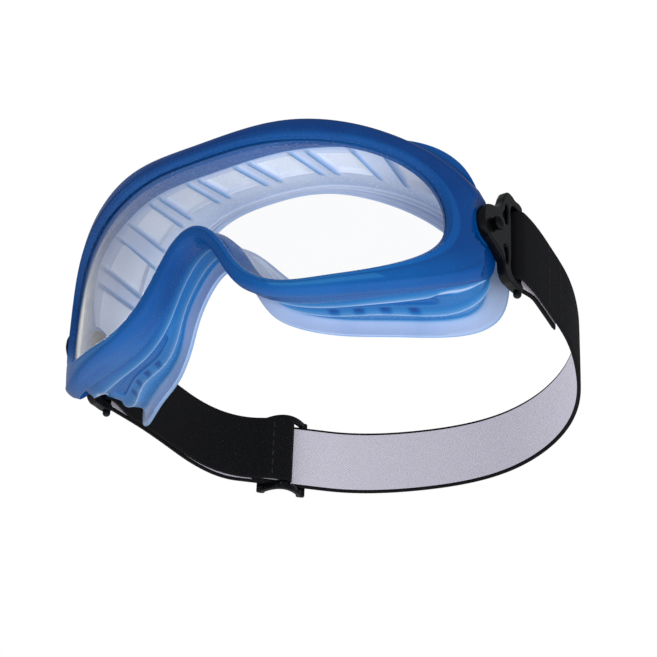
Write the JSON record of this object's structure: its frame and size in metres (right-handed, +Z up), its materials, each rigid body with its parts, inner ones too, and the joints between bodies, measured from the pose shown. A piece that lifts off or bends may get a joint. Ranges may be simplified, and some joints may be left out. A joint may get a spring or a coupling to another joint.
{
  "type": "safety goggles",
  "caption": "Soft-framed safety goggles with a wrap-round clear lens, swivelling strap clips and an elastic strap with a sliding adjuster.",
  "frame": {"origin": "midway between the two strap pivots at the temples", "axes": "+X to the wearer's left along the pivots' axis, +Y backwards from the lens to the wearer's face and the back of the head, +Z up"},
  "size_m": [0.1784, 0.1886, 0.075],
  "materials": {
    "frame_vinyl": "soft translucent blue vinyl, satin to glossy, deeper colour where the moulding is thick",
    "lens_clear": "clear polished polycarbonate",
    "black_plastic": "black moulded plastic, semi-gloss",
    "strap_webbing": "woven elastic webbing, black outside and grey inside",
    "thread": "twisted black sewing thread"
  },
  "bodies": {
    "root": {"frame": "frame_vinyl", "lens": "lens_clear", "stud_left": "black_plastic", "stud_right": "black_plastic", "washer_left": "black_plastic", "washer_right": "black_plastic"},
    "strap_assembly": {"clip_left": "black_plastic", "clip_right": "black_plastic", "strap": "strap_webbing", "stitching_left": "thread"},
    "slider": {"slider": "black_plastic", "strap_end_loop": "strap_webbing", "stitching_slider": "thread"}
  },
  "joints": [
    {"name": "strap_swing", "type": "hinge", "parent": "root", "child": "strap_assembly", "pos_m": [0, 0, 0], "axis": [1, 0, 0], "range_deg": [-25, 40]},
    {"name": "slider_slide", "type": "slide", "parent": "strap_assembly", "child": "slider", "axis": [-0.7071, -0.7071, 0], "range_m": [-0.0045, 0.0045]}
  ]
}
